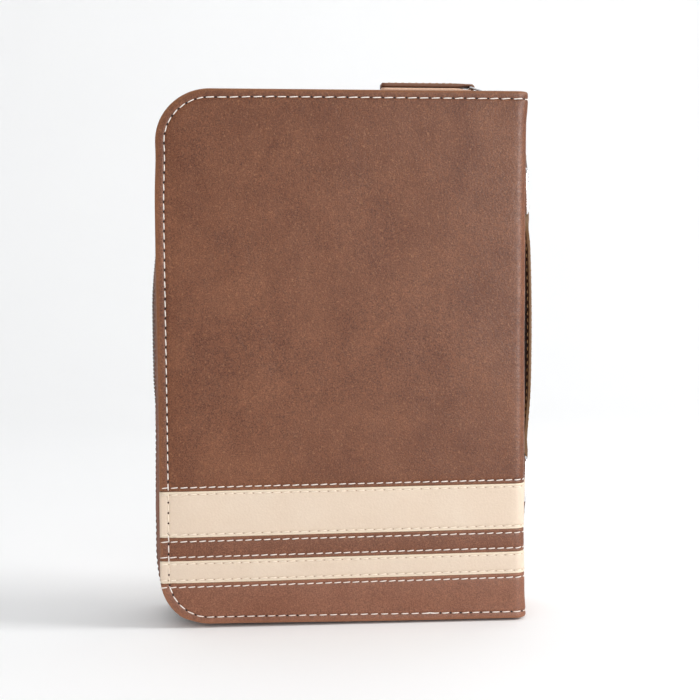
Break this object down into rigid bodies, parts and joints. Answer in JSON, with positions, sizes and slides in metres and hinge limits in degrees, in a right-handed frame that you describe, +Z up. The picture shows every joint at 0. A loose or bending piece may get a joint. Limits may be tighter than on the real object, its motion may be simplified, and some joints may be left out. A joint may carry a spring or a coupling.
{
  "type": "bible in zippered case",
  "caption": "Bible inside a zip-around brown leather case with pieced cream stripes, a leather zipper pull and a carry handle on the spine.",
  "frame": {"origin": "under the middle of the object, on the surface that it stands on", "axes": "+Z up the case as it stands, +X from the fore-edge to the spine, -Y out of the back cover"},
  "size_m": [0.1833, 0.05, 0.2591],
  "materials": {
    "brown_leather": "satin, fine mottled grain, sewn with off-white thread",
    "cream_leather": "satin, very fine grain, sewn with cream thread",
    "stiffener_board": "matt pressed board",
    "lining_cloth": "matt plain-woven polyester",
    "gusset_cloth": "matt thin leather cloth",
    "zipper_cloth": "matt woven herringbone tape",
    "zipper_coil": "semi-gloss moulded coil",
    "slider_metal": "polished nickel plate",
    "ring_metal": "polished nickel plate",
    "book_cover": "satin bonded leather",
    "book_paper": "matt thin paper",
    "book_band": "striped woven cotton",
    "ribbon_satin": "satin ribbon"
  },
  "bodies": {
    "back_half": {"back_lower_panel": "brown_leather", "back_narrow_stripe": "cream_leather", "back_middle_band": "brown_leather", "back_wide_stripe": "cream_leather", "back_upper_panel": "brown_leather", "back_stiffener": "stiffener_board", "back_lining": "lining_cloth", "back_sleeve": "lining_cloth", "back_gusset": "gusset_cloth", "back_zipper_tape": "zipper_cloth", "back_zipper_teeth": "zipper_coil", "bible_back_board": "book_cover", "bible_back_pages": "book_paper", "ribbon_marker": "ribbon_satin"},
    "spine": {"spine_lower_panel": "brown_leather", "spine_narrow_stripe": "cream_leather", "spine_middle_band": "brown_leather", "spine_wide_stripe": "cream_leather", "spine_upper_panel": "brown_leather", "spine_stiffener": "stiffener_board", "spine_lining": "lining_cloth", "top_zipper_end_tab": "brown_leather", "bottom_zipper_end_tab": "brown_leather", "bible_spine": "book_cover", "head_band": "book_band", "tail_band": "book_band", "upper_ring_tab": "brown_leather", "lower_ring_tab": "brown_leather"},
    "front_half": {"front_lower_panel": "brown_leather", "front_narrow_stripe": "cream_leather", "front_middle_band": "brown_leather", "front_wide_stripe": "cream_leather", "front_upper_panel": "brown_leather", "front_stiffener": "stiffener_board", "front_lining": "lining_cloth", "front_sleeve": "lining_cloth", "front_gusset": "gusset_cloth", "front_zipper_tape": "zipper_cloth", "front_zipper_teeth": "zipper_coil", "bible_front_board": "book_cover", "bible_front_pages": "book_paper"},
    "slider": {"slider_body": "slider_metal", "slider_bridge": "slider_metal"},
    "pull": {"pull_link": "slider_metal", "leather_pull": "brown_leather"},
    "handle": {"handle_strap": "brown_leather"},
    "upper_ring": {"upper_ring": "ring_metal"},
    "lower_ring": {"lower_ring": "ring_metal"}
  },
  "joints": [
    {"name": "spine_fold", "type": "hinge", "parent": "back_half", "child": "spine", "pos_m": [0.084, -0.025, 0.127], "axis": [0, 0, -1], "range_deg": [0, 90]},
    {"name": "cover_fold", "type": "hinge", "parent": "spine", "child": "front_half", "pos_m": [0.084, 0.025, 0.127], "axis": [0, 0, -1], "range_deg": [0, 90]},
    {"name": "slider_travel", "type": "slide", "parent": "back_half", "child": "slider", "axis": [-1, 0, 0], "range_m": [0, 0.125]},
    {"name": "pull_hinge", "type": "hinge", "parent": "slider", "child": "pull", "pos_m": [0.0677, 0, 0.2547], "axis": [0, 1, 0], "range_deg": [0, 130]},
    {"name": "handle_lift", "type": "slide", "parent": "spine", "child": "handle", "axis": [1, 0, 0], "range_m": [0, 0.007]},
    {"name": "upper_ring_swing", "type": "hinge", "parent": "spine", "child": "upper_ring", "pos_m": [0.08615, 0, 0.2175], "axis": [0, -1, 0], "range_deg": [0, 20]},
    {"name": "lower_ring_swing", "type": "hinge", "parent": "spine", "child": "lower_ring", "pos_m": [0.08615, 0, 0.0555], "axis": [0, 1, 0], "range_deg": [0, 20]}
  ],
  "couplings": [
    {"joint": "upper_ring_swing", "follows": "handle_lift", "rad_per_m": 48.8},
    {"joint": "lower_ring_swing", "follows": "handle_lift", "rad_per_m": 48.8}
  ]
}
